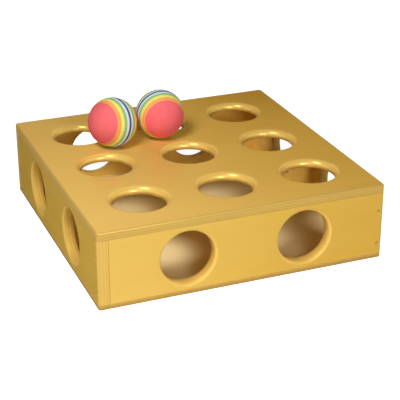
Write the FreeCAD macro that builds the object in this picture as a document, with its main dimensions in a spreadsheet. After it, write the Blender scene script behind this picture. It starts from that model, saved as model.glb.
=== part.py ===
import FreeCAD, Part
import os
import re
import Sketcher

# The box is square in plan and stands on z = 0, with its middle on the z axis.
# The front wall faces -Y. All lengths are in millimetres, all angles in degrees.
DIMENSIONS = [
    ("box_side", 240.0, "outside length of the square box"),
    ("wall_thickness", 9.0, "plywood of the four walls"),
    ("wall_height", 54.2, "from the base panel to the top panel"),
    ("top_thickness", 6.8, "plywood of the top panel"),
    ("base_thickness", 4.0, "plywood of the base panel"),
    ("corner_radius", 2.5, "upright outer corners of walls and panels"),
    ("top_edge_radius", 1.8, "upper outer edge of the top panel"),
    ("base_edge_radius", 1.4, "lower outer edge of the base panel"),
    ("edge_break", 0.4, "sanded edges that meet at the joint lines"),
    ("top_hole_diameter", 43.0, "paw holes in the top panel"),
    ("top_hole_pitch", 73.0, "spacing of the 3 by 3 grid of paw holes"),
    ("front_row_shift", 2.8, "middle of the grid's front row, right of the box's middle"),
    ("middle_row_shift", -0.6, "middle of its middle row, right of the box's middle"),
    ("back_row_shift", -1.4, "middle of its back row, right of the box's middle"),
    ("top_hole_lip", 5.2, "rounding of the top holes' upper rims"),
    ("side_hole_floor", 5.0, "wood between a wall's paw hole and the base panel"),
    ("side_hole_roof", 5.1, "wood between a wall's paw hole and the top panel"),
    ("side_hole_pitch", 97.6, "spacing of the two paw holes in a wall"),
    ("side_hole_shift", 1.1, "their middle, from the box's middle to the covering end"),
    ("side_hole_lip", 3.0, "rounding of the side holes' outer rims"),
    ("inner_lip", 0.3, "rounding of every paw hole's rim inside the box"),
    ("brad_diameter", 1.4, "shanks of the nails"),
    ("brad_head_diameter", 2.4, "heads of the nails"),
    ("brad_head_height", 1.0, "thickness of the nails' heads"),
    ("brad_sink", 0.6, "depth of the heads under the surface"),
    ("brad_clearance", 0.05, "radial room round each nail"),
    ("corner_brad_length", 28.0, "nails that join two walls, head included"),
    ("corner_brad_low", 9.6, "lower nail of a corner, above the base panel"),
    ("corner_brad_high", 15.8, "upper nail of a corner, below the top panel"),
    ("base_brad_length", 18.0, "nails that hold the base panel, head included"),
    ("ball_diameter", 42.0, "laminated foam balls"),
    ("navy_layer", 2.4, "middle layer of a ball"),
    ("pale_layer", 2.4, "next layer to each side"),
    ("green_layer", 2.6, "next layer to each side"),
    ("yellow_layer", 2.8, "next layer to each side"),
    ("orange_layer", 3.0, "next layer to each side, under the red cap"),
    ("ball_rest_gap", 0.3, "between a ball and the top panel"),
    ("left_ball_x", 18.5, "left ball, right of the middle row's left hole"),
    ("left_ball_y", 0.5, "left ball, behind halfway from the middle to the back row"),
    ("left_ball_turn_angle", -152.7, "direction of its front cap in plan, from +X"),
    ("left_ball_rise_angle", 12.3, "elevation of its front cap's axis"),
    ("right_ball_x", -10.6, "right ball, right of the middle row's middle hole"),
    ("right_ball_y", -32.5, "right ball, behind the back row of holes"),
    ("right_ball_turn_angle", -92.0, "direction of its front cap in plan, from +X"),
    ("right_ball_rise_angle", -2.4, "elevation of its front cap's axis"),
]

# Each foam ball has a navy layer in its middle, these layers on both sides and a red cap.
SIDE_LAYERS = ["pale", "green", "yellow", "orange"]

# The rows of paw holes in the top panel, from front to back. Each has a shift of its own.
HOLE_ROWS = ["front_row", "middle_row", "back_row"]

# The four walls, each a quarter turn about the box's middle from the one before it.
WALLS = ["front_wall", "right_wall", "back_wall", "left_wall"]
WALL_STEP_ANGLE = 90

# Formulas that several pieces share, in the names of the dimensions. Heights and places
# are measured from the middle of the base panel's underside.
BOX_HALF = "(box_side / 2)"
WALL_TOP = "(base_thickness + wall_height)"
TOP_FACE = "(base_thickness + wall_height + top_thickness)"
WALL_MIDDLE = "(box_side / 2 - wall_thickness / 2)"
JOINT_LINE = "(wall_thickness - box_side / 2)"
SIDE_HOLE = "(wall_height - side_hole_floor - side_hole_roof)"
SIDE_HOLE_HEIGHT = f"(base_thickness + side_hole_floor + {SIDE_HOLE} / 2)"
PAW_HOLE_RIM = f"side_hole_pitch / 2 + {SIDE_HOLE} / 2 + side_hole_lip"
CORNER_BRAD_HEIGHTS = {
    "low": "base_thickness + corner_brad_low",
    "high": f"{WALL_TOP} - corner_brad_high",
}
CORNER_BRAD_TIP = "box_side / 2 - brad_sink - corner_brad_length"
# The outer nails under a wall stand halfway between its paw hole and the corner nails' tips.
BASE_BRAD_SPACING = f"({PAW_HOLE_RIM} + {CORNER_BRAD_TIP}) / 2"
SHANK_HOLE = "brad_diameter + 2 * brad_clearance"
HEAD_HOLE = "brad_head_diameter + 2 * brad_clearance"

GEOMETRY_TOLERANCE = 1e-4

# How the sketcher numbers the points of a line and of a circle, and its own origin.
LINE_START, LINE_END, CIRCLE_CENTRE = 1, 2, 3
SKETCH_ORIGIN = (-1, 1)

doc = FreeCAD.newDocument("cat_puzzle_box")
sheet = doc.addObject("Spreadsheet::Sheet", "Dimensions")
for row, (alias, number, meaning) in enumerate(DIMENSIONS, start=1):
    sheet.set(f"A{row}", meaning)
    sheet.set(f"B{row}", str(number))
    sheet.setAlias(f"B{row}", alias)
doc.recompute()

ALIASES = [alias for alias, _, _ in DIMENSIONS]
UPWARD = FreeCAD.Vector(0, 0, 1)
parts = []


def formula(text):
    """Turn a formula in the sheet's names into one that the document understands."""
    return re.sub(r"[a-z][a-z_]+", lambda word: named(word.group()), text)


def named(word):
    return f"Dimensions.{word}" if word in ALIASES else word


def value(text):
    """The number that a formula comes to."""
    return float(sheet.evalExpression(formula(text)))


def bind(item, **properties):
    """Bind properties to formulas. A double underscore in a name stands for a dot."""
    for name, text in properties.items():
        item.setExpression(name.replace("__", "."), formula(text))


def new_body(name):
    body = doc.addObject("PartDesign::Body", name)
    body.Label = name
    parts.append(body)
    return body


def new_sketch(body, name, plane, offset="0"):
    """Start a sketch on one of the body's own planes, moved along the plane's normal."""
    sketch = body.newObject("Sketcher::SketchObject", f"{body.Name}_{name}")
    support = [item for item in body.Origin.OriginFeatures if item.Role == plane][0]
    sketch.AttachmentSupport = [(support, "")]
    sketch.MapMode = "FlatFace"
    bind(sketch, AttachmentOffset__Base__z=offset)
    return sketch


def place_point(sketch, geometry, point, x, y):
    """Fix a point of the sketch at x, y, which are formulas measured from the origin."""
    for kind, text in (("DistanceX", x), ("DistanceY", y)):
        ends = (*SKETCH_ORIGIN, geometry, point)
        index = sketch.addConstraint(Sketcher.Constraint(kind, *ends, value(text)))
        label = f"{kind[-1].lower()}_{geometry}_{point}"
        sketch.renameConstraint(index, label)
        sketch.setExpression(f"Constraints.{label}", formula(text))


def draw_rectangle(sketch, left, right, bottom, top):
    corners = [(left, bottom), (right, bottom), (right, top), (left, top)]
    points = [FreeCAD.Vector(value(x), value(y), 0) for x, y in corners]
    first = sketch.GeometryCount
    for index in range(4):
        sketch.addGeometry(Part.LineSegment(points[index], points[(index + 1) % 4]))
    for index in range(4):
        after = (index + 1) % 4
        ends = (first + index, LINE_END, first + after, LINE_START)
        sketch.addConstraint(Sketcher.Constraint("Coincident", *ends))
        kind = "Horizontal" if index % 2 == 0 else "Vertical"
        sketch.addConstraint(Sketcher.Constraint(kind, first + index))
    place_point(sketch, first, LINE_START, left, bottom)
    place_point(sketch, first + 2, LINE_START, right, top)


def draw_circle(sketch, x, y, diameter):
    circle = Part.Circle(FreeCAD.Vector(value(x), value(y), 0), UPWARD, value(diameter) / 2)
    geometry = sketch.addGeometry(circle)
    index = sketch.addConstraint(Sketcher.Constraint("Diameter", geometry, value(diameter)))
    sketch.renameConstraint(index, f"diameter_{geometry}")
    sketch.setExpression(f"Constraints.diameter_{geometry}", formula(diameter))
    place_point(sketch, geometry, CIRCLE_CENTRE, x, y)


def pad(body, sketch, length):
    feature = body.newObject("PartDesign::Pad", f"{sketch.Name}_pad")
    feature.Profile = sketch
    bind(feature, Length=length)
    doc.recompute()


def cut(body, sketch, depth=None, reverse=False):
    """Cut the sketch out of the body, to a depth or right through both ways."""
    before = body.Shape.Volume
    feature = body.newObject("PartDesign::Pocket", f"{sketch.Name}_cut")
    feature.Profile = sketch
    feature.Reversed = reverse
    if depth is None:
        feature.SideType = "Symmetric"
        feature.Type = "ThroughAll"
    else:
        bind(feature, Length=depth)
    doc.recompute()
    if body.Shape.Volume >= before - GEOMETRY_TOLERANCE:
        raise RuntimeError(f"{feature.Name} cuts nothing")


def round_edges(body, name, radius, wanted):
    """Round the edges of the body's last feature that the wanted function picks."""
    base = body.Tip
    edges = [f"Edge{n}" for n, edge in enumerate(base.Shape.Edges, start=1) if wanted(edge)]
    if not edges:
        raise RuntimeError(f"{body.Name} has no edges for {name}")
    feature = body.newObject("PartDesign::Fillet", f"{body.Name}_{name}")
    feature.Base = (base, edges)
    bind(feature, Radius=radius)
    doc.recompute()


def near(first, second):
    return abs(first - second) < GEOMETRY_TOLERANCE


def lies_at(edge, axis, place):
    """Whether the whole edge lies in the plane where this coordinate is place."""
    box = edge.BoundBox
    low = {"x": box.XMin, "y": box.YMin, "z": box.ZMin}[axis]
    high = {"x": box.XMax, "y": box.YMax, "z": box.ZMax}[axis]
    return near(low, place) and near(high, place)


def is_upright_corner(edge, x, y):
    return lies_at(edge, "x", x) and lies_at(edge, "y", y)


def is_rim(edge, diameter):
    """Whether the edge is a circle of this diameter."""
    return isinstance(edge.Curve, Part.Circle) and near(edge.Curve.Radius, diameter / 2)


def is_outline(edge, z):
    """Whether the edge belongs to the outer outline of a panel's face at this height."""
    reach = value(f"{BOX_HALF} - corner_radius") - GEOMETRY_TOLERANCE
    middle = edge.valueAt((edge.FirstParameter + edge.LastParameter) / 2)
    return lies_at(edge, "z", z) and max(abs(middle.x), abs(middle.y)) > reach


def outer_corners():
    half = value(BOX_HALF)
    return [(x, y) for x in (-half, half) for y in (-half, half)]


def build_panel(name, bottom, thickness):
    """A square board with rounded upright corners. Its height and thickness are formulas."""
    body = new_body(name)
    outline = new_sketch(body, "outline", "XY_Plane", bottom)
    draw_rectangle(outline, f"-{BOX_HALF}", BOX_HALF, f"-{BOX_HALF}", BOX_HALF)
    pad(body, outline, thickness)

    def is_corner(edge):
        return any(is_upright_corner(edge, x, y) for x, y in outer_corners())

    round_edges(body, "corners", "corner_radius", is_corner)
    return body


def build_top_panel():
    """The panel over the walls, with its 3 by 3 grid of paw holes."""
    body = build_panel("top_panel", WALL_TOP, "top_thickness")
    underside = value(WALL_TOP)
    upper_face = value(TOP_FACE)
    diameter = value("top_hole_diameter")
    holes = new_sketch(body, "holes", "XY_Plane", WALL_TOP)
    for line, row in enumerate(HOLE_ROWS, start=-1):
        for column in (-1, 0, 1):
            x = f"{row}_shift + {column} * top_hole_pitch"
            y = f"{line} * top_hole_pitch"
            draw_circle(holes, x, y, "top_hole_diameter")
    cut(body, holes)

    def is_upper_rim(edge):
        return is_rim(edge, diameter) and lies_at(edge, "z", upper_face)

    def is_lower_rim(edge):
        return is_rim(edge, diameter) and lies_at(edge, "z", underside)

    round_edges(body, "lips", "top_hole_lip", is_upper_rim)
    round_edges(body, "inner_lips", "inner_lip", is_lower_rim)
    round_edges(body, "upper_edge", "top_edge_radius", lambda edge: is_outline(edge, upper_face))
    round_edges(body, "joint_edge", "edge_break", lambda edge: is_outline(edge, underside))


def base_brad_places():
    """Formulas for the x, y of each nail under the base panel, three along each wall."""
    for step in (-1, 0, 1):
        along = f"{step} * {BASE_BRAD_SPACING}"
        yield along, f"-{WALL_MIDDLE}"
        yield WALL_MIDDLE, along
        yield along, WALL_MIDDLE
        yield f"-{WALL_MIDDLE}", along


def build_base_panel():
    """The panel under the walls, with holes for the nails that hold it."""
    body = build_panel("base_panel", "0", "base_thickness")
    upper_face = value("base_thickness")
    shanks = new_sketch(body, "shank_holes", "XY_Plane")
    heads = new_sketch(body, "head_holes", "XY_Plane")
    for x, y in base_brad_places():
        draw_circle(shanks, x, y, SHANK_HOLE)
        draw_circle(heads, x, y, HEAD_HOLE)
    cut(body, shanks)
    cut(body, heads, "brad_sink + brad_head_height", reverse=True)
    round_edges(body, "joint_edge", "edge_break", lambda edge: is_outline(edge, upper_face))
    round_edges(body, "lower_edge", "base_edge_radius", lambda edge: is_outline(edge, 0))


def cut_paw_holes(body):
    """Two paw holes in a wall, rounded on both faces."""
    outer_face = -value(BOX_HALF)
    inner_face = value(JOINT_LINE)
    diameter = value(SIDE_HOLE)
    holes = new_sketch(body, "holes", "XZ_Plane")
    for side in (-1, 1):
        along = f"side_hole_shift + {side} * side_hole_pitch / 2"
        draw_circle(holes, along, SIDE_HOLE_HEIGHT, SIDE_HOLE)
    cut(body, holes)

    def is_outer_rim(edge):
        return is_rim(edge, diameter) and lies_at(edge, "y", outer_face)

    def is_inner_rim(edge):
        return is_rim(edge, diameter) and lies_at(edge, "y", inner_face)

    round_edges(body, "lips", "side_hole_lip", is_outer_rim)
    round_edges(body, "inner_lips", "inner_lip", is_inner_rim)


def cut_wall_brad_holes(body):
    """Holes for the nails through the covering end, into the butting end and from below."""
    through = new_sketch(body, "through_holes", "XZ_Plane", BOX_HALF)
    heads = new_sketch(body, "head_holes", "XZ_Plane", BOX_HALF)
    ends = new_sketch(body, "end_holes", "YZ_Plane", JOINT_LINE)
    for height in CORNER_BRAD_HEIGHTS.values():
        draw_circle(through, WALL_MIDDLE, height, SHANK_HOLE)
        draw_circle(heads, WALL_MIDDLE, height, HEAD_HOLE)
        draw_circle(ends, f"-{WALL_MIDDLE}", height, SHANK_HOLE)
    cut(body, through, "wall_thickness")
    cut(body, heads, "brad_sink + brad_head_height")
    cut(body, ends, "brad_sink + corner_brad_length - wall_thickness + brad_clearance", reverse=True)
    lower = new_sketch(body, "lower_holes", "XY_Plane", "base_thickness")
    for step in (-1, 0, 1):
        draw_circle(lower, f"{step} * {BASE_BRAD_SPACING}", f"-{WALL_MIDDLE}", SHANK_HOLE)
    cut(body, lower, "brad_sink + base_brad_length - base_thickness + brad_clearance", reverse=True)


def round_wall_edges(body):
    """Round the covering end's upright corner and break the outer face's other edges."""
    half = value(BOX_HALF)
    bottom = value("base_thickness")
    top = value(WALL_TOP)
    butt_end = value(JOINT_LINE)

    def is_covering_corner(edge):
        return is_upright_corner(edge, half, -half)

    def is_joint_edge(edge):
        level = lies_at(edge, "z", bottom) or lies_at(edge, "z", top)
        along_face = lies_at(edge, "y", -half) and level
        round_end = lies_at(edge, "x", half) and not lies_at(edge, "y", -half)
        return along_face or round_end or is_upright_corner(edge, butt_end, -half)

    round_edges(body, "corner", "corner_radius", is_covering_corner)
    round_edges(body, "joint_edges", "edge_break", is_joint_edge)


def wall_turn(name):
    """The turn about the box's middle that carries the front wall to this wall."""
    return FreeCAD.Rotation(UPWARD, WALLS.index(name) * WALL_STEP_ANGLE)


def build_wall(name):
    """One wall, drawn as the front wall and turned to its side."""
    body = new_body(name)
    outline = new_sketch(body, "outline", "XY_Plane", "base_thickness")
    draw_rectangle(outline, JOINT_LINE, BOX_HALF, f"-{BOX_HALF}", JOINT_LINE)
    pad(body, outline, "wall_height")
    round_wall_edges(body)
    cut_paw_holes(body)
    cut_wall_brad_holes(body)
    body.Placement = FreeCAD.Placement(FreeCAD.Vector(0, 0, 0), wall_turn(name))


def build_brad(name, length, place, direction):
    """A nail whose head's outer face is at place and whose shank runs along direction."""
    head = doc.addObject("Part::Cylinder", f"{name}_head")
    bind(head, Radius="brad_head_diameter / 2", Height="brad_head_height")
    shank = doc.addObject("Part::Cylinder", f"{name}_shank")
    bind(shank, Radius="brad_diameter / 2", Height=length)
    brad = doc.addObject("Part::Fuse", name)
    brad.Base = head
    brad.Tool = shank
    brad.Placement = FreeCAD.Placement(place, FreeCAD.Rotation(UPWARD, direction))
    return brad


def group(name, members):
    compound = doc.addObject("Part::Compound", name)
    compound.Label = name
    compound.Links = members
    parts.append(compound)


def build_corner_brads():
    """Two nails at each corner, from the covering wall into the next wall's end."""
    brads = []
    face = value(f"brad_sink - {BOX_HALF}")
    for wall in WALLS:
        turn = wall_turn(wall)
        inward = turn.multVec(FreeCAD.Vector(0, 1, 0))
        for level, height in CORNER_BRAD_HEIGHTS.items():
            place = turn.multVec(FreeCAD.Vector(value(WALL_MIDDLE), face, value(height)))
            brads.append(build_brad(f"{wall}_{level}", "corner_brad_length", place, inward))
    group("corner_brads", brads)


def build_base_brads():
    """Three nails under each wall, from the underside of the base panel."""
    brads = []
    for number, (x, y) in enumerate(base_brad_places(), start=1):
        place = FreeCAD.Vector(value(x), value(y), value("brad_sink"))
        brads.append(build_brad(f"base_brad_{number}", "base_brad_length", place, UPWARD))
    group("base_brads", brads)


def ball_centre(ball):
    """Formulas for a ball's centre, which keeps its place among the top panel's holes."""
    if ball == "left_ball":
        x = "left_ball_x + middle_row_shift - top_hole_pitch"
        y = "left_ball_y + top_hole_pitch / 2"
    else:
        x = "right_ball_x + middle_row_shift"
        y = "right_ball_y + top_hole_pitch"
    return x, y, f"{TOP_FACE} + ball_rest_gap + ball_diameter / 2"


def build_layer(ball, name, low, high):
    """The slice of a ball between two heights on its own axis, which are formulas."""
    layer = doc.addObject("Part::Sphere", f"{ball}_{name}")
    layer.Label = f"{ball}_{name}"
    bind(layer, Radius="ball_diameter / 2")
    if low is not None:
        bind(layer, Angle1=f"asin(({low}) / (ball_diameter / 2))")
    if high is not None:
        bind(layer, Angle2=f"asin(({high}) / (ball_diameter / 2))")
    x, y, z = ball_centre(ball)
    lean = FreeCAD.Rotation(FreeCAD.Vector(0, 1, 0), 90 - value(f"{ball}_rise_angle"))
    turn = FreeCAD.Rotation(UPWARD, value(f"{ball}_turn_angle"))
    layer.Placement = FreeCAD.Placement(FreeCAD.Vector(0, 0, 0), turn.multiply(lean))
    bind(layer, Placement__Base__x=x, Placement__Base__y=y, Placement__Base__z=z)
    parts.append(layer)


def build_ball(ball):
    """The navy layer, four coloured layers to the front and to the back, and two red caps."""
    build_layer(ball, "navy", "-navy_layer / 2", "navy_layer / 2")
    near_face = "navy_layer / 2"
    for colour in SIDE_LAYERS:
        far_face = f"{near_face} + {colour}_layer"
        build_layer(ball, f"front_{colour}", near_face, far_face)
        build_layer(ball, f"back_{colour}", f"-({far_face})", f"-({near_face})")
        near_face = far_face
    build_layer(ball, "front_red_cap", near_face, None)
    build_layer(ball, "back_red_cap", None, f"-({near_face})")


def check_document():
    """Stop if any object failed or any part has no valid shape."""
    for item in doc.Objects:
        if "Invalid" in item.State or "Error" in item.State:
            raise RuntimeError(f"{item.Name} failed: {item.State}")
    for part in parts:
        if part.Shape.isNull() or not part.Shape.isValid():
            raise RuntimeError(f"{part.Label} has no valid shape")


build_base_panel()
for wall_name in WALLS:
    build_wall(wall_name)
build_top_panel()
build_corner_brads()
build_base_brads()
build_ball("left_ball")
build_ball("right_ball")
doc.recompute()
check_document()

os.makedirs("parts", exist_ok=True)
for part in parts:
    part.Shape.exportStep(f"parts/{part.Label}.step")
    box = part.Shape.BoundBox
    corners = [box.XMin, box.YMin, box.ZMin, box.XMax, box.YMax, box.ZMax]
    print(part.Label, len(part.Shape.Solids), round(part.Shape.Volume, 1), [round(v, 2) for v in corners])
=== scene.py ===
import math

import bmesh
import bpy
from mathutils import Matrix, Vector, noise


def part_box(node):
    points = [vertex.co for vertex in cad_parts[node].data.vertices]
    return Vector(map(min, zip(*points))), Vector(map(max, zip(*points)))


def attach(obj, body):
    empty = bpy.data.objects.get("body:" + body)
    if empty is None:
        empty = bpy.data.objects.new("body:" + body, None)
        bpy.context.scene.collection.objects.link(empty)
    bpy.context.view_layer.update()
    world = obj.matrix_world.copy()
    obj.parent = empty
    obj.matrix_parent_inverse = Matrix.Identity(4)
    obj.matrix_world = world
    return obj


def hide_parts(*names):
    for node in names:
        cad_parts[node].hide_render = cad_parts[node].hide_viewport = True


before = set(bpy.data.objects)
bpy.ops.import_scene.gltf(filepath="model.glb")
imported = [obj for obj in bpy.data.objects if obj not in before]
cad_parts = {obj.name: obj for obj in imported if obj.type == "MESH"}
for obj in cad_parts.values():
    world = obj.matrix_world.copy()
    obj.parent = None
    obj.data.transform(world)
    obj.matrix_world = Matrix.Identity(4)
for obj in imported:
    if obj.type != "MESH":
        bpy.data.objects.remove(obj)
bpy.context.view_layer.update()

MM = 0.001
X, Y, Z = 0, 1, 2
VECTOR = "NodeSocketVector"
FLOAT = "NodeSocketFloat"


class Graph:
    """Adds nodes to a tree. An input is a value or another node's output."""

    def __init__(self, tree):
        self.tree = tree

    def feed(self, socket, value):
        if isinstance(value, bpy.types.NodeSocket):
            self.tree.links.new(value, socket)
        else:
            socket.default_value = value

    def node(self, kind, inputs=None, **settings):
        made = self.tree.nodes.new(kind)
        for name, value in settings.items():
            setattr(made, name, value)
        for socket, value in (inputs or {}).items():
            self.feed(made.inputs[socket], value)
        return made

    def math(self, operation, first, second=0.0, third=0.0):
        inputs = {0: first, 1: second, 2: third}
        return self.node("ShaderNodeMath", inputs, operation=operation).outputs[0]

    def highest(self, first, *others):
        for other in others:
            first = self.math("MAXIMUM", first, other)
        return first

    def mix(self, factor, first, second):
        inputs = {0: factor, 6: first, 7: second}
        return self.node("ShaderNodeMix", inputs, data_type="RGBA").outputs[2]

    def scaled(self, vector, scale):
        """The vector times a vector, part by part."""
        made = self.node("ShaderNodeVectorMath", {0: vector, 1: scale}, operation="MULTIPLY")
        return made.outputs[0]

    def moved(self, vector, shift):
        """The vector plus a vector."""
        made = self.node("ShaderNodeVectorMath", {0: vector, 1: shift}, operation="ADD")
        return made.outputs[0]

    def noise(self, vector, scale, detail=2.0, roughness=0.5, distortion=0.0):
        inputs = {
            "Vector": vector,
            "Scale": scale,
            "Detail": detail,
            "Roughness": roughness,
            "Distortion": distortion,
        }
        return self.node("ShaderNodeTexNoise", inputs).outputs[0]

    def between(self, value, low, high, to_low=0.0, to_high=1.0):
        """A smooth step from to_low to to_high as the value goes from low to high."""
        inputs = {0: value, 1: low, 2: high, 3: to_low, 4: to_high}
        made = self.node("ShaderNodeMapRange", inputs, interpolation_type="SMOOTHSTEP")
        return made.outputs[0]

    def near(self, value, place, reach, full=0.0):
        """One within full of the place, and nothing from the reach on."""
        away = self.math("ABSOLUTE", self.math("SUBTRACT", value, place))
        return self.between(away, reach, full)

    def bump(self, height, strength, distance):
        """The normal of a surface with this height."""
        inputs = {"Height": height, "Strength": strength, "Distance": distance}
        return self.node("ShaderNodeBump", inputs).outputs[0]

    def group(self, tree, inputs):
        made = self.node("ShaderNodeGroup", node_tree=tree)
        for socket, value in inputs.items():
            self.feed(made.inputs[socket], value)
        return made.outputs


def new_group(name, inputs, outputs):
    """An empty node group. Gives its graph, its input sockets and its output sockets."""
    tree = bpy.data.node_groups.new(name, "ShaderNodeTree")
    for socket, kind in inputs.items():
        tree.interface.new_socket(name=socket, in_out="INPUT", socket_type=kind)
    for socket, kind in outputs.items():
        tree.interface.new_socket(name=socket, in_out="OUTPUT", socket_type=kind)
    start = tree.nodes.new("NodeGroupInput")
    end = tree.nodes.new("NodeGroupOutput")
    return Graph(tree), start.outputs, end.inputs


def blank_material(name):
    """A material without nodes, and its graph."""
    material = bpy.data.materials.new(name)
    material.use_nodes = True
    material.node_tree.nodes.clear()
    return material, Graph(material.node_tree)


def new_material(name):
    """A material with its shader. Gives the material, its graph and its shader."""
    material, g = blank_material(name)
    shader = g.node("ShaderNodeBsdfPrincipled")
    g.node("ShaderNodeOutputMaterial", {"Surface": shader.outputs[0]})
    return material, g, shader


def set_material(node, material):
    """Give a kept CAD node its finish."""
    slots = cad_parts[node].data.materials
    slots.clear()
    slots.append(material)


def new_object(name, data):
    """An object in the scene."""
    made = bpy.data.objects.new(name, data)
    bpy.context.scene.collection.objects.link(made)
    return made


def circle(segments):
    """Angles once round, in radians."""
    return [math.tau * segment / segments for segment in range(segments)]


def bridge_rings(bm, rings):
    """Smooth faces from each ring to the next. A ring can be one vertex, at a pole."""
    for first, second in zip(rings, rings[1:]):
        count = max(len(first), len(second))
        for here in range(count):
            after = (here + 1) % count
            corners = [first[here % len(first)], second[here % len(second)]]
            corners += [second[after % len(second)], first[after % len(first)]]
            bm.faces.new(list(dict.fromkeys(corners))).smooth = True


# Grain of the veneer: how often its patterns repeat in a metre, along the grain and across it.
LONG_FIBRES = (34.0, 900.0, 900.0)
SHORT_FIBRES = (150.0, 2600.0, 2600.0)
FIGURE = (5.0, 32.0, 32.0)
PORES = (260.0, 3400.0, 3400.0)
LONG_FIBRE_SHARE = 0.65
PORE_RANGE = (0.66, 0.78)


def make_veneer_grain():
    """Fibres, broad figure and pores of a veneer. The vector is in metres, X along the grain."""
    g, start, end = new_group(
        "veneer_grain", {"Vector": VECTOR}, {"Fibre": FLOAT, "Figure": FLOAT, "Pore": FLOAT}
    )
    place = start["Vector"]
    long_fibres = g.noise(g.scaled(place, LONG_FIBRES), 1.0, detail=4.0, roughness=0.62)
    short_fibres = g.noise(g.scaled(place, SHORT_FIBRES), 1.0, detail=2.0, roughness=0.6)
    short_share = g.math("MULTIPLY", short_fibres, 1.0 - LONG_FIBRE_SHARE)
    g.feed(end["Fibre"], g.math("MULTIPLY_ADD", long_fibres, LONG_FIBRE_SHARE, short_share))
    figure = g.noise(g.scaled(place, FIGURE), 1.0, detail=3.0, roughness=0.55, distortion=0.9)
    g.feed(end["Figure"], figure)
    pores = g.noise(g.scaled(place, PORES), 1.0, detail=1.0)
    g.feed(end["Pore"], g.between(pores, *PORE_RANGE))
    return g.tree


# Cut edges of the plies: the blend from ply to ply as a share of two plies, how far from its
# middle a glue line ends and is full, and the depth from which glue lines show, so that the
# outer face has none. The last two are in plies.
PLY_BLEND = 0.08
GLUE_LINE = (0.12, 0.03)
GLUE_DEPTH = (0.3, 0.7)


def make_ply_edge():
    """The plies that show on a board's edge, by the depth under its outer face."""
    g, start, end = new_group(
        "ply_edge", {"Depth": FLOAT, "Ply": FLOAT}, {"Cross": FLOAT, "Glue": FLOAT}
    )
    count = g.math("DIVIDE", start["Depth"], start["Ply"])
    pair = g.math("FRACT", g.math("MULTIPLY", count, 0.5))
    cross_starts = g.between(pair, 0.5 - PLY_BLEND / 2, 0.5 + PLY_BLEND / 2)
    cross_ends = g.between(pair, 1.0, 1.0 - PLY_BLEND)
    g.feed(end["Cross"], g.math("MULTIPLY", cross_starts, cross_ends))
    centred = g.math("SUBTRACT", g.math("FRACT", g.math("ADD", count, 0.5)), 0.5)
    line = g.between(g.math("ABSOLUTE", centred), *GLUE_LINE)
    g.feed(end["Glue"], g.math("MULTIPLY", line, g.between(count, *GLUE_DEPTH)))
    return g.tree


# Lacquer: how often its ripples and smears repeat in a metre, how far smears and fibres
# change the roughness, and the ripples' share of the height.
RIPPLES = (160.0, 420.0, 420.0)
SMEARS = 26.0
SMEAR_ROUGHNESS = 0.10
FIBRE_ROUGHNESS = 0.08
RIPPLE_SHARE = 0.7


def make_lacquer():
    """A brushed satin coat: how its roughness and its height change over the surface."""
    g, start, end = new_group(
        "lacquer",
        {"Vector": VECTOR, "Fibre": FLOAT, "Roughness": FLOAT},
        {"Roughness": FLOAT, "Height": FLOAT},
    )
    place, fibre = start["Vector"], start["Fibre"]
    ripple = g.noise(g.scaled(place, RIPPLES), 1.0)
    smears = g.noise(place, SMEARS, detail=3.0, roughness=0.6, distortion=0.4)
    smears = g.math("SUBTRACT", smears, 0.5)
    smeared = g.math("MULTIPLY_ADD", smears, SMEAR_ROUGHNESS, start["Roughness"])
    fibres = g.math("SUBTRACT", fibre, 0.5)
    g.feed(end["Roughness"], g.math("MULTIPLY_ADD", fibres, FIBRE_ROUGHNESS, smeared))
    fibre_height = g.math("MULTIPLY", fibre, 1.0 - RIPPLE_SHARE)
    g.feed(end["Height"], g.math("MULTIPLY_ADD", ripple, RIPPLE_SHARE, fibre_height))
    return g.tree


# Sanded foam: cells, patches and grains in a metre, the patches' share of the tone, the
# grains' share of the height, and the roughness from the smoothest grains to the roughest.
CELLS = 2600.0
PATCHES = 90.0
GRAINS = 3800.0
PATCH_SHARE = 0.6
GRAIN_HEIGHT = 0.5
GRAIN_RANGE = (0.2, 0.8)
FOAM_ROUGHNESS = (0.78, 0.95)


def make_foam_cells():
    """Sanded closed cells of foam: tone, roughness and height."""
    g, start, end = new_group(
        "foam_cells", {"Vector": VECTOR}, {"Tone": FLOAT, "Roughness": FLOAT, "Height": FLOAT}
    )
    place = start["Vector"]
    cells = g.node("ShaderNodeTexVoronoi", {"Vector": place, "Scale": CELLS}, feature="SMOOTH_F1")
    patches = g.noise(place, PATCHES, detail=3.0, roughness=0.6)
    grains = g.noise(place, GRAINS, roughness=0.6)
    grain_share = g.math("MULTIPLY", grains, 1.0 - PATCH_SHARE)
    g.feed(end["Tone"], g.math("MULTIPLY_ADD", patches, PATCH_SHARE, grain_share))
    g.feed(end["Roughness"], g.between(grains, *GRAIN_RANGE, *FOAM_ROUGHNESS))
    height = g.math("MULTIPLY_ADD", grains, GRAIN_HEIGHT, cells.outputs["Distance"])
    g.feed(end["Height"], height)
    return g.tree


VENEER_GRAIN = make_veneer_grain()
PLY_EDGE = make_ply_edge()
LACQUER = make_lacquer()
FOAM_CELLS = make_foam_cells()


# Wood colours, as linear values: stained faces, stained plies on the cut edges, bare wood, the
# thinly stained faces inside the box, glue, and the brown of painted shade deep in the holes and
# low on the base panel's edge.
HONEY_LIGHT = (0.90, 0.575, 0.148, 1.0)
HONEY_DARK = (0.815, 0.482, 0.099, 1.0)
EDGE_LONG_PLY = (0.88, 0.575, 0.135, 1.0)
EDGE_CROSS_PLY = (0.76, 0.455, 0.085, 1.0)
BARE_LIGHT = (1.0, 0.82, 0.44, 1.0)
BARE_DARK = (0.94, 0.74, 0.34, 1.0)
THIN_STAIN_LIGHT = (0.95, 0.63, 0.15, 1.0)
THIN_STAIN_DARK = (0.87, 0.54, 0.10, 1.0)
GLUE_BROWN = (0.30, 0.15, 0.03, 1.0)
PAINTED_SHADE_BROWN = (0.30, 0.13, 0.012, 1.0)
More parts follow.
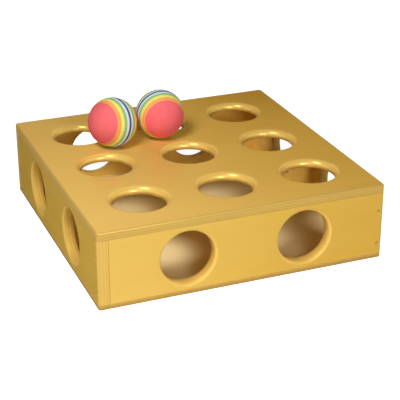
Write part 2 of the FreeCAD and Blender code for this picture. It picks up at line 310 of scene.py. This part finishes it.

# What the stained faces' colour is multiplied by for painted shade and light: painted shade on
# the walls, more on the left wall, painted light at the box's left, painted shade at its right and
# at the top panel's back right. Without painted shade the colour stays as it is. The painted light
# turns to painted shade from side to side over twice the reach.
WALL_PAINTED_SHADE = (0.96, 0.99, 0.80)
LEFT_WALL_PAINTED_SHADE = (0.92, 0.94, 0.66)
PAINTED_LIGHT_LEFT = (1.0, 1.02, 1.14, 1.0)
PAINTED_SHADE_RIGHT = (0.93, 0.885, 0.74, 1.0)
PAINTED_SHADE_BACK_RIGHT = (0.86, 0.82, 0.72, 1.0)
NO_PAINTED_SHADE = (1.0, 1.0, 1.0, 1.0)
PAINTED_SHADE_REACH = 120.0 * MM

# Tone of the wood: the figure's share of it, the range that counts, and for the stained faces
# and the cut edges where the mix of dark and light starts and how far it changes.
FIGURE_SHARE = 0.45
WOOD_TONE = (0.33, 0.67)
HONEY_START, HONEY_CONTRAST = 0.35, 0.4
EDGE_START, EDGE_CONTRAST = 0.85, 0.4

# How strongly glue lines, pores and the lines between boards show.
GLUE_SHARE = 0.06
PORE_SHARE = 0.06
JOINT_SHARE = 0.45

# Each kind of board: its plies, how far its cut edges are shaded, how much painted shade darkens
# the inner end of its holes, the coat in its holes, and the metallic share that warms its gloss.
PLIES = {"wall": 7, "top": 5, "base": 3}
EDGE_SHADE = {"wall": 0.93, "top": 0.74, "base": 0.74}
BORE_PAINTED_SHADE = {"wall": 0.40, "top": 0.75}
BORE_COAT = {"wall": 0.22, "top": 0.42, "base": 0.0}
WARM_SHEEN = {"wall": 0.03, "top": 0.18, "base": 0.0}

# The same for every board: the shade in its holes, the coat on its cut edges, where painted shade
# starts in the holes by the share of the depth, and the depths and strengths of painted shade on
# the base panel's edge, from the upper side to the underside.
BORE_SHADE = 1.06
EDGE_COAT = 0.25
COAT_ROUGHNESS = 0.42
BORE_PAINTED_SHADE_FROM = 0.55
BASE_EDGE_DEPTHS = (1.0, 0.1)
BASE_EDGE_PAINTED_SHADE = (0.1, 0.5)

# Roughness of lacquered and bare wood, and the strength and height of the lacquer's waves.
HONEY_ROUGHNESS = 0.24
BARE_ROUGHNESS = 0.55
LACQUER_BUMP = 0.10
LACQUER_HEIGHT = 0.3 * MM

# Where a surface counts as a cut edge, as facing into the box or as an end face, by how
# squarely it faces. Then how wide the lines between boards are, and how far in from a board's
# outline a cut edge belongs to a hole.
CUT_EDGE = (0.985, 0.90)
FACING = (0.5, 0.9)
JOINT_LINE_REACH = 0.55 * MM
OUTLINE_REACH = 4.0 * MM


class Board:
    """A plywood board of the box. Along is the grain's axis, through is the thickness's, and
    inward is the way into the box along that one, 1 or -1. The shift, in metres, gives each
    board a grain of its own."""

    def __init__(self, node, kind, along, through, inward, shift):
        self.node, self.kind, self.shift = node, kind, shift
        self.along, self.through, self.inward = along, through, inward
        self.across = X + Y + Z - along - through
        self.low, self.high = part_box(node)
        self.size = self.high - self.low
        self.thickness = self.size[through]
        self.outer, self.inner = (self.low, self.high) if inward > 0 else (self.high, self.low)


def joint_lines(g, board, place, facing, depth):
    """One along the lines where the board meets others. A wall butts against the next one at
    its end nearer to the box's middle, and the line also shows on its far end's face."""
    if board.kind != "wall":
        return g.near(place[board.through], board.inner[board.through], JOINT_LINE_REACH)
    foot = g.near(place[Z], board.low.z, JOINT_LINE_REACH)
    head = g.near(place[Z], board.high.z, JOINT_LINE_REACH)
    ends = (board.low[board.along], board.high[board.along])
    butt = g.near(place[board.along], min(ends, key=abs), JOINT_LINE_REACH)
    end_face = g.between(g.math("ABSOLUTE", facing[board.along]), *FACING)
    cover = g.math("MULTIPLY", g.near(depth, board.thickness, JOINT_LINE_REACH), end_face)
    return g.highest(foot, head, butt, cover)


def bore_mask(g, board, place, edge):
    """One on the cut edges in the holes, and nothing on the board's own outline."""
    bore = edge
    for axis in (board.along, board.across):
        away = g.math("SUBTRACT", place[axis], (board.low[axis] + board.high[axis]) / 2)
        half = board.size[axis] / 2
        clear = g.near(away, 0.0, half - OUTLINE_REACH, half - 2 * OUTLINE_REACH)
        bore = g.math("MULTIPLY", bore, clear)
    return bore


def painted_hole_and_foot_shade(g, board, edge, bore, depth_share):
    """Painted shade: deep at the holes' inner ends, and low on the base panel's edge towards the
    floor.
    """
    if board.kind == "base":
        # Painted shade low on the base panel's edge, darkest at the underside.
        return g.math("MULTIPLY", edge, g.between(depth_share, *BASE_EDGE_DEPTHS, *BASE_EDGE_PAINTED_SHADE))
    # Painted shade towards the inner end of each hole.
    inner_end = g.between(depth_share, BORE_PAINTED_SHADE_FROM, 1.0, 0.0, BORE_PAINTED_SHADE[board.kind])
    return g.math("MULTIPLY", bore, inner_end)


def honey_with_painted_shade(g, board, place, tone):
    """The stain on a board's outer face, with painted shade on the walls, to the right and at the
    top's back right, and painted light to the left.
    """
    lightness = g.math("MULTIPLY_ADD", tone, HONEY_CONTRAST, HONEY_START)
    honey = g.mix(lightness, HONEY_DARK, HONEY_LIGHT)
    if board.kind == "wall":
        # Painted shade on the walls, deeper and more saturated on the left wall.
        honey = g.scaled(honey, LEFT_WALL_PAINTED_SHADE if board.node == "left_wall" else WALL_PAINTED_SHADE)
    # Painted light towards the box's left, painted shade towards its right.
    left_to_right = g.between(place[X], -PAINTED_SHADE_REACH, PAINTED_SHADE_REACH)
    honey = g.scaled(honey, g.mix(left_to_right, PAINTED_LIGHT_LEFT, PAINTED_SHADE_RIGHT))
    if board.kind == "top":
        # Painted shade at the top panel's back right.
        right = g.between(place[X], 0.0, PAINTED_SHADE_REACH)
        back_right = g.math("MULTIPLY", right, g.between(place[Y], 0.0, PAINTED_SHADE_REACH))
        honey = g.scaled(honey, g.mix(back_right, NO_PAINTED_SHADE, PAINTED_SHADE_BACK_RIGHT))
    return honey


def ply_colour(g, board, depth, bore):
    """The stained plies on a board's cut edges and in its holes."""
    plies = g.group(PLY_EDGE, {"Depth": depth, "Ply": board.thickness / PLIES[board.kind]})
    lightness = g.math("MULTIPLY_ADD", plies["Cross"], -EDGE_CONTRAST, EDGE_START)
    colour = g.mix(lightness, EDGE_CROSS_PLY, EDGE_LONG_PLY)
    colour = g.mix(g.math("MULTIPLY", plies["Glue"], GLUE_SHARE), colour, GLUE_BROWN)
    edge_shade = EDGE_SHADE[board.kind]
    return g.scaled(colour, g.math("MULTIPLY_ADD", bore, BORE_SHADE - edge_shade, edge_shade))


def board_material(name, board):
    """Plywood, lacquered outside only. The base panel is bare on both faces."""
    material, g, shader = new_material(name)
    coordinates = g.node("ShaderNodeTexCoord").outputs
    place = g.node("ShaderNodeSeparateXYZ", {0: coordinates["Object"]}).outputs
    facing = g.node("ShaderNodeSeparateXYZ", {0: coordinates["Normal"]}).outputs
    ordered = {0: place[board.along], 1: place[board.across], 2: place[board.through]}
    vector = g.moved(g.node("ShaderNodeCombineXYZ", ordered).outputs[0], board.shift)
    grain = g.group(VENEER_GRAIN, {"Vector": vector})

    # Masks: cut edges, faces that look into the box, lines between boards, holes and painted shade.
    under_face = g.math("SUBTRACT", place[board.through], board.outer[board.through])
    depth = g.math("MULTIPLY", under_face, board.inward)
    depth_share = g.math("DIVIDE", depth, board.thickness)
    edge = g.between(g.math("ABSOLUTE", facing[board.through]), *CUT_EDGE)
    inside = g.between(g.math("MULTIPLY", facing[board.through], board.inward), *FACING)
    joint = joint_lines(g, board, place, facing, depth)
    joint = g.math("MULTIPLY", joint, g.math("SUBTRACT", 1.0, inside))
    bore = bore_mask(g, board, place, edge)
    painted_shade = painted_hole_and_foot_shade(g, board, edge, bore, depth_share)

    # Colour, from the face to the cut edges, the inside, and what lies over them all.
    fibre_tone = g.math("MULTIPLY", grain["Fibre"], 1.0 - FIGURE_SHARE)
    tone = g.math("MULTIPLY_ADD", grain["Figure"], FIGURE_SHARE, fibre_tone)
    tone = g.between(tone, *WOOD_TONE)
    if board.kind == "base":
        inner = g.mix(tone, BARE_DARK, BARE_LIGHT)
        face = inner
    else:
        inner = g.mix(tone, THIN_STAIN_DARK, THIN_STAIN_LIGHT)
        face = honey_with_painted_shade(g, board, place, tone)
    colour = g.mix(edge, face, ply_colour(g, board, depth, bore))
    colour = g.mix(inside, colour, inner)
    colour = g.mix(g.math("MULTIPLY", grain["Pore"], PORE_SHARE), colour, GLUE_BROWN)
    colour = g.mix(g.math("MULTIPLY", joint, JOINT_SHARE), colour, GLUE_BROWN)
    # Painted shade, dark brown deep in the holes and low on the base panel's edge.
    g.feed(shader.inputs["Base Color"], g.mix(painted_shade, colour, PAINTED_SHADE_BROWN))

    roughness = g.math("MULTIPLY_ADD", inside, BARE_ROUGHNESS - HONEY_ROUGHNESS, HONEY_ROUGHNESS)
    coat_inputs = {"Vector": vector, "Fibre": grain["Fibre"], "Roughness": roughness}
    coat = g.group(LACQUER, coat_inputs)
    g.feed(shader.inputs["Roughness"], coat["Roughness"])
    sheen = WARM_SHEEN[board.kind]
    g.feed(shader.inputs["Metallic"], g.math("MULTIPLY_ADD", inside, -sheen, sheen))
    coated = g.math("MULTIPLY_ADD", bore, BORE_COAT[board.kind] - EDGE_COAT, EDGE_COAT)
    g.feed(shader.inputs["Coat Weight"], g.math("MULTIPLY", edge, coated))
    g.feed(shader.inputs["Normal"], g.bump(coat["Height"], LACQUER_BUMP, LACQUER_HEIGHT))
    shader.inputs["Specular IOR Level"].default_value = 0.0
    shader.inputs["Specular Tint"].default_value = HONEY_LIGHT
    shader.inputs["Coat Roughness"].default_value = COAT_ROUGHNESS
    return material


BOARDS = (
    Board("front_wall", "wall", along=X, through=Y, inward=1, shift=(0.0, 0.0, 0.0)),
    Board("back_wall", "wall", along=X, through=Y, inward=-1, shift=(0.37, 0.11, 0.0)),
    Board("left_wall", "wall", along=Y, through=X, inward=1, shift=(0.74, 0.22, 0.0)),
    Board("right_wall", "wall", along=Y, through=X, inward=-1, shift=(1.11, 0.33, 0.0)),
    Board("top_panel", "top", along=X, through=Z, inward=-1, shift=(0.9, 0.5, 0.0)),
    Board("base_panel", "base", along=X, through=Z, inward=1, shift=(1.7, 0.2, 0.0)),
)


def finish_boards():
    for board in BOARDS:
        finish = "bare" if board.kind == "base" else "honey"
        set_material(board.node, board_material(f"{board.node}_{finish}", board))


# Nails, stained over: specks in a metre, the ranges of the specks that count, and the finish.
NAIL_DARK = (0.38, 0.22, 0.06, 1.0)
NAIL_LIGHT = (0.60, 0.38, 0.13, 1.0)
NAIL_SPECKS = 900.0
NAIL_TONE = (0.35, 0.65)
NAIL_SMEAR = (0.3, 0.7)
NAIL_ROUGHNESS = (0.45, 0.7)
NAIL_METALLIC = 0.25


def finish_nails():
    material, g, shader = new_material("stained_nail")
    place = g.node("ShaderNodeTexCoord").outputs["Object"]
    specks = g.noise(place, NAIL_SPECKS, detail=3.0, roughness=0.6)
    colour = g.mix(g.between(specks, *NAIL_TONE), NAIL_DARK, NAIL_LIGHT)
    g.feed(shader.inputs["Base Color"], colour)
    g.feed(shader.inputs["Roughness"], g.between(specks, *NAIL_SMEAR, *NAIL_ROUGHNESS))
    shader.inputs["Metallic"].default_value = NAIL_METALLIC
    for node in ("corner_brads", "base_brads"):
        set_material(node, material)


# Foam of the balls: a material for each colour, named after it.
FOAM_COLOURS = {
    "red_cap": (0.98, 0.160, 0.175, 1.0),
    "orange": (1.0, 0.42, 0.115, 1.0),
    "yellow": (0.96, 0.86, 0.18, 1.0),
    "green": (0.31, 0.62, 0.21, 1.0),
    "pale": (0.83, 0.90, 0.98, 1.0),
    "navy": (0.09, 0.10, 0.30, 1.0),
}
FOAM_SHADE = 0.86
FOAM_TONE = (0.3, 0.7)
FOAM_BUMP = 0.25
FOAM_HEIGHT = 0.1 * MM
FOAM_SPECULAR = 0.25

# Shape of the balls. The wobble is the balls' unevenness, with its waves for each radius and
# a shift of its own for each ball. An angle or a radius under tiny counts as none.
SEAM_DEPTH = 0.14 * MM
SEAM_REACH = 0.5 * MM
WOBBLE = 0.10 * MM
WOBBLE_WAVES = 2.2
WOBBLE_SHIFT = Vector((3.1, 2.17, 0.0))
ROW_STEP = 0.6 * MM
FEWEST_ROWS = 6
BALL_SEGMENTS = 160
TINY = 1e-6


def foam_material(colour_name, colour):
    material, g, shader = new_material(f"{colour_name}_foam")
    place = g.node("ShaderNodeTexCoord").outputs["Object"]
    cells = g.group(FOAM_CELLS, {"Vector": place})
    darker = tuple(part * FOAM_SHADE for part in colour[:3]) + (1.0,)
    g.feed(shader.inputs["Base Color"], g.mix(g.between(cells["Tone"], *FOAM_TONE), darker, colour))
    g.feed(shader.inputs["Roughness"], cells["Roughness"])
    g.feed(shader.inputs["Normal"], g.bump(cells["Height"], FOAM_BUMP, FOAM_HEIGHT))
    shader.inputs["Specular IOR Level"].default_value = FOAM_SPECULAR
    return material


class Ball:
    """A ball's layers, centre, radius and axis, from the CAD. The axis points to the front cap,
    and the shift moves the pattern of its unevenness."""

    def __init__(self, name, shift):
        self.name, self.shift = name, shift
        self.layers = [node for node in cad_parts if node.startswith(name)]
        corners = [corner for layer in self.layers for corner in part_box(layer)]
        low = Vector(min(corner[i] for corner in corners) for i in (X, Y, Z))
        high = Vector(max(corner[i] for corner in corners) for i in (X, Y, Z))
        self.centre = (low + high) / 2
        self.radius = (high.z - low.z) / 2
        front, back = (self.cap_middle(side) for side in ("front", "back"))
        self.axis = (front - back).normalized()

    def cap_middle(self, side):
        points = [v.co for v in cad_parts[f"{self.name}_{side}_red_cap"].data.vertices]
        return sum(points, Vector()) / len(points)

    def reach(self, layer):
        """Where a layer starts and ends along the axis, from the centre."""
        points = [v.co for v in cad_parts[layer].data.vertices]
        heights = [(point - self.centre).dot(self.axis) for point in points]
        return min(heights), max(heights)


def layer_profile(low, high, radius):
    """Elevations from the ball's centre and distances from it, over a layer's outer face."""
    start = math.asin(max(-1.0, low / radius))
    end = math.asin(min(1.0, high / radius))
    rows = max(FEWEST_ROWS, round((end - start) * radius / ROW_STEP))
    points = []
    for row in range(rows + 1):
        eased = 0.5 - 0.5 * math.cos(math.pi * row / rows)
        angle = start + (end - start) * eased
        dip = 0.0
        for seam in (start, end):
            if abs(seam) < math.pi / 2 - TINY:
                away = abs(angle - seam) * radius
                dip += SEAM_DEPTH * max(0.0, 1.0 - away / SEAM_REACH) ** 2
        points.append((angle, radius - dip))
    return points


def layer_rings(bm, ball, low, high):
    """Rings of vertices over a layer's outer face. At a pole of the ball a ring is one vertex."""
    rings = []
    for angle, reach in layer_profile(low, high, ball.radius):
        across, along = math.cos(angle), math.sin(angle)
        if across < TINY:
            rings.append([bm.verts.new((0.0, 0.0, along * (reach - WOBBLE / 2)))])
            continue
        ring = []
        for around in circle(BALL_SEGMENTS):
            direction = Vector((across * math.cos(around), across * math.sin(around), along))
            uneven = 0.5 + 0.5 * noise.noise(direction * WOBBLE_WAVES + ball.shift)
            ring.append(bm.verts.new(direction * (reach - WOBBLE * uneven)))
        rings.append(ring)
    return rings


def foam_layer(ball, layer, material):
    """One layer of a ball, as a closed solid turned about the ball's axis."""
    bm = bmesh.new()
    rings = layer_rings(bm, ball, *ball.reach(layer))
    bridge_rings(bm, rings)
    for cut_face in (rings[0][::-1], rings[-1]):
        if len(cut_face) > 1:
            bm.faces.new(cut_face)
    bmesh.ops.recalc_face_normals(bm, faces=bm.faces)
    mesh = bpy.data.meshes.new(f"{layer}_foam")
    bm.to_mesh(mesh)
    bm.free()
    mesh.materials.append(material)
    piece = new_object(f"{layer}_foam", mesh)
    turn = ball.axis.to_track_quat("Z", "Y").to_matrix().to_4x4()
    piece.matrix_world = Matrix.Translation(ball.centre) @ turn
    return piece


def make_balls():
    materials = {name: foam_material(name, colour) for name, colour in FOAM_COLOURS.items()}
    for index, name in enumerate(("left_ball", "right_ball")):
        ball = Ball(name, WOBBLE_SHIFT * index)
        for layer in ball.layers:
            colour = next(colour for colour in FOAM_COLOURS if layer.endswith(colour))
            piece = foam_layer(ball, layer, materials[colour])
            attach(piece, ball.name)
            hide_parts(layer)


# Camera, in the model's own frame: metres, degrees, and the lens in millimetres.
CAMERA_PLACE = Vector((-349.8, -898.2, 466.3)) * MM
CAMERA_HEADING = 21.81
CAMERA_DIP = 24.84
CAMERA_LENS = 111.46
SENSOR_WIDTH = 36.0


def make_camera():
    data = bpy.data.cameras.new("camera")
    data.sensor_width = SENSOR_WIDTH
    data.lens = CAMERA_LENS
    camera = new_object("camera", data)
    camera.location = CAMERA_PLACE
    heading = math.radians(-CAMERA_HEADING)
    camera.rotation_euler = (math.radians(90.0 - CAMERA_DIP), 0.0, heading)
    bpy.context.scene.camera = camera


# White studio sweep, in metres: flat round the object, then curving up to a rim. Its glow is
# a little dimmer near the object, and dimmer again in gloss.
SWEEP_FLAT = 3.0
SWEEP_RADIUS = 9.0
SWEEP_RISE = 9.0
SWEEP_RINGS = 16
SWEEP_SEGMENTS = 96
FLOOR_COLOUR = (0.82, 0.82, 0.82, 1.0)
GLOW_REACH = (0.20, 0.55)
GLOW_NEAR_AND_FAR = (0.90, 1.0)
GLOW_IN_GLOSS = 0.75
WORLD_COLOUR = (1.0, 1.0, 1.0, 1.0)
WORLD_STRENGTH = 0.10


def sweep_material():
    """A matte floor for the lamps, which glows white for the camera, through glass and, a
    little dimmer, in gloss."""
    material, g = blank_material("white_sweep")
    matte = g.node("ShaderNodeBsdfDiffuse", {"Color": FLOOR_COLOUR})
    place = g.node("ShaderNodeTexCoord").outputs["Object"]
    away = g.node("ShaderNodeVectorMath", {0: place}, operation="LENGTH").outputs["Value"]
    rays = g.node("ShaderNodeLightPath").outputs
    strength = g.between(away, *GLOW_REACH, *GLOW_NEAR_AND_FAR)
    in_gloss = g.math("MULTIPLY_ADD", rays["Is Glossy Ray"], GLOW_IN_GLOSS - 1.0, 1.0)
    glow = g.node("ShaderNodeEmission", {"Strength": g.math("MULTIPLY", strength, in_gloss)})
    both = g.node("ShaderNodeAddShader", {0: matte.outputs[0], 1: glow.outputs[0]})
    seen = g.highest(*(rays[f"Is {kind} Ray"] for kind in ("Camera", "Glossy", "Transmission")))
    chosen = g.node("ShaderNodeMixShader", {0: seen, 1: matte.outputs[0], 2: both.outputs[0]})
    g.node("ShaderNodeOutputMaterial", {"Surface": chosen.outputs[0]})
    return material


def make_sweep():
    """A white floor that keeps the object's soft shadow, and rises all round, far from it."""
    bm = bmesh.new()
    rings = []
    for row in range(SWEEP_RINGS + 1):
        share = row / SWEEP_RINGS
        reach = SWEEP_FLAT + (SWEEP_RADIUS - SWEEP_FLAT) * share
        height = SWEEP_RISE * share ** 2
        ring = []
        for around in circle(SWEEP_SEGMENTS):
            place = (reach * math.cos(around), reach * math.sin(around), height)
            ring.append(bm.verts.new(place))
        rings.append(ring)
    bm.faces.new(rings[0])
    bridge_rings(bm, rings)
    mesh = bpy.data.meshes.new("sweep")
    bm.to_mesh(mesh)
    bm.free()
    mesh.materials.append(sweep_material())
    new_object("sweep", mesh)


def make_world():
    """A plain dim surround."""
    world = bpy.data.worlds.new("studio")
    bpy.context.scene.world = world
    world.use_nodes = True
    background = world.node_tree.nodes["Background"]
    background.inputs["Color"].default_value = WORLD_COLOUR
    background.inputs["Strength"].default_value = WORLD_STRENGTH


# Square lamps, in metres and watts. Both point at a spot above the middle of the box's floor.
LAMP_TARGET = Vector((0.0, 0.0, 0.04))
LAMPS = {
    "key": {"place": (-0.270, -0.232, 0.500), "width": 0.17, "power": 2.00},
    "fill": {"place": (0.02, -1.146, 0.39), "width": 0.5, "power": 6.0},
}


def area_lamp(name, place, width, power):
    data = bpy.data.lights.new(name, "AREA")
    data.shape = "SQUARE"
    data.size = width
    data.energy = power
    lamp = new_object(name, data)
    lamp.location = Vector(place)
    lamp.rotation_mode = "QUATERNION"
    lamp.rotation_quaternion = (LAMP_TARGET - Vector(place)).to_track_quat("-Z", "Y")


finish_boards()
finish_nails()
make_balls()
make_camera()
make_sweep()
make_world()
for lamp_name, lamp_values in LAMPS.items():
    area_lamp(lamp_name, **lamp_values)

bpy.context.scene.view_settings.view_transform = "Standard"
